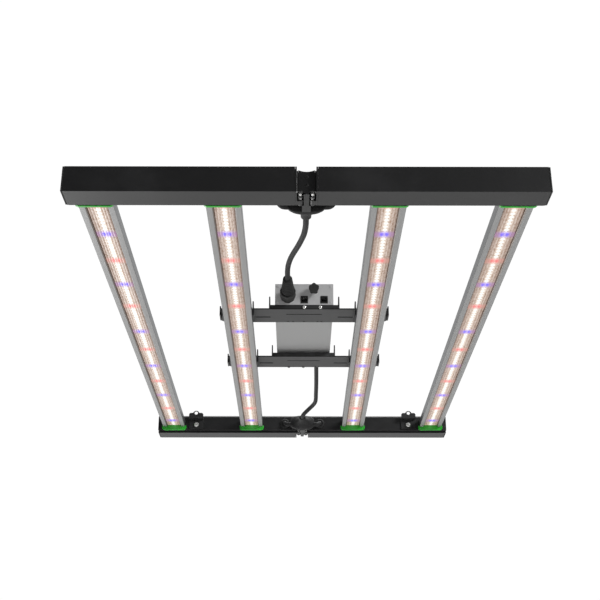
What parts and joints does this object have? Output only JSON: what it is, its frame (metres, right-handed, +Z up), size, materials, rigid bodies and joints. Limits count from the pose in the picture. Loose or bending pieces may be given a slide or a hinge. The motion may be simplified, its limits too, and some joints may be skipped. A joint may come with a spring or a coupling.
{
  "type": "led grow light",
  "caption": "Folding LED grow light: light bars between two black rails with centre hinges, and a driver with dimmer on cross brackets.",
  "frame": {"origin": "centre of the plan, in the plane of the rails' undersides", "axes": "+X along the rails towards the half that folds, +Y along the light bars away from the dimmer knob, +Z up, away from the lamp side"},
  "size_m": [0.6, 1.066, 0.0683],
  "materials": {
    "rail_black": "satin black anodised aluminium",
    "black_plastic": "fine moulded texture",
    "black_rubber": "matt moulded PVC",
    "dark_sheet": "satin dark grey powder coat",
    "steel": "bright zinc-plated steel",
    "bar_aluminium": "satin anodised extrusion",
    "driver_aluminium": "satin silver-grey",
    "led_board": "white solder mask with lit warm-white diodes",
    "clear_lens": "clear ribbed polycarbonate",
    "green_plastic": "moulded green plastic",
    "circuit_board": "green solder mask"
  },
  "bodies": {
    "left_half": {"rail_front_left": "rail_black", "end_cap_front_left": "black_plastic", "hinge_fitting_front_left": "rail_black", "hanger_front_left": "dark_sheet", "cross_bracket_front": "dark_sheet", "driver_cord_front": "black_rubber", "rail_rear_left": "rail_black", "end_cap_rear_left": "black_plastic", "hinge_fitting_rear_left": "rail_black", "hanger_rear_left": "dark_sheet", "cross_bracket_rear": "dark_sheet", "driver_cord_rear": "black_rubber", "bar_1_heatsink": "bar_aluminium", "bar_1_led_board": "led_board", "bar_1_lens": "clear_lens", "bar_1_end_plate_front": "green_plastic", "bar_1_end_plate_rear": "green_plastic", "bar_2_heatsink": "bar_aluminium", "bar_2_led_board": "led_board", "bar_2_lens": "clear_lens", "bar_2_end_plate_front": "green_plastic", "bar_2_end_plate_rear": "green_plastic", "driver_case": "driver_aluminium", "driver_front_panel": "driver_aluminium", "driver_rear_panel": "driver_aluminium", "driver_circuit_board": "circuit_board", "output_socket": "black_plastic", "cord_plug": "black_rubber", "dimming_port_left": "black_plastic", "dimming_port_right": "black_plastic", "mains_inlet": "black_plastic", "rear_cord_gland": "black_plastic"},
    "hinge_links": {"hinge_link_front": "rail_black", "hinge_link_rear": "rail_black", "hinge_pin_front_left": "steel", "hinge_pin_front_right": "steel", "hinge_pin_rear_left": "steel", "hinge_pin_rear_right": "steel", "cable_splitter_front": "black_rubber", "cable_splitter_rear": "black_rubber"},
    "right_half": {"rail_front_right": "rail_black", "rail_rear_right": "rail_black", "end_cap_front_right": "black_plastic", "end_cap_rear_right": "black_plastic", "hinge_fitting_front_right": "rail_black", "hinge_fitting_rear_right": "rail_black", "hanger_front_right": "dark_sheet", "hanger_rear_right": "dark_sheet", "bar_3_heatsink": "bar_aluminium", "bar_3_led_board": "led_board", "bar_3_lens": "clear_lens", "bar_3_end_plate_front": "green_plastic", "bar_3_end_plate_rear": "green_plastic", "bar_4_heatsink": "bar_aluminium", "bar_4_led_board": "led_board", "bar_4_lens": "clear_lens", "bar_4_end_plate_front": "green_plastic", "bar_4_end_plate_rear": "green_plastic"},
    "knob": {"dimmer_knob": "black_plastic"},
    "coupling_nut": {"coupling_nut": "black_plastic"}
  },
  "joints": [
    {"name": "fold_at_left_pins", "type": "hinge", "parent": "left_half", "child": "hinge_links", "pos_m": [-0.0076, 0, 0.0041], "axis": [0, 1, 0], "range_deg": [0, 90], "deforming": ["cable_splitter_front", "cable_splitter_rear", "driver_cord_front", "driver_cord_rear"]},
    {"name": "fold_at_right_pins", "type": "hinge", "parent": "hinge_links", "child": "right_half", "pos_m": [0.0076, 0, 0.0041], "axis": [0, 1, 0], "range_deg": [0, 90], "deforming": ["cable_splitter_front", "cable_splitter_rear"]},
    {"name": "dimmer_turn", "type": "hinge", "parent": "left_half", "child": "knob", "pos_m": [0.0153, -0.115, 0.056], "axis": [0, -1, 0], "range_deg": [-150, 150]},
    {"name": "coupling_nut_turn", "type": "hinge", "parent": "left_half", "child": "coupling_nut", "pos_m": [-0.026, -0.121, 0.046], "axis": [0, -1, 0], "range_deg": [0, 360]}
  ]
}
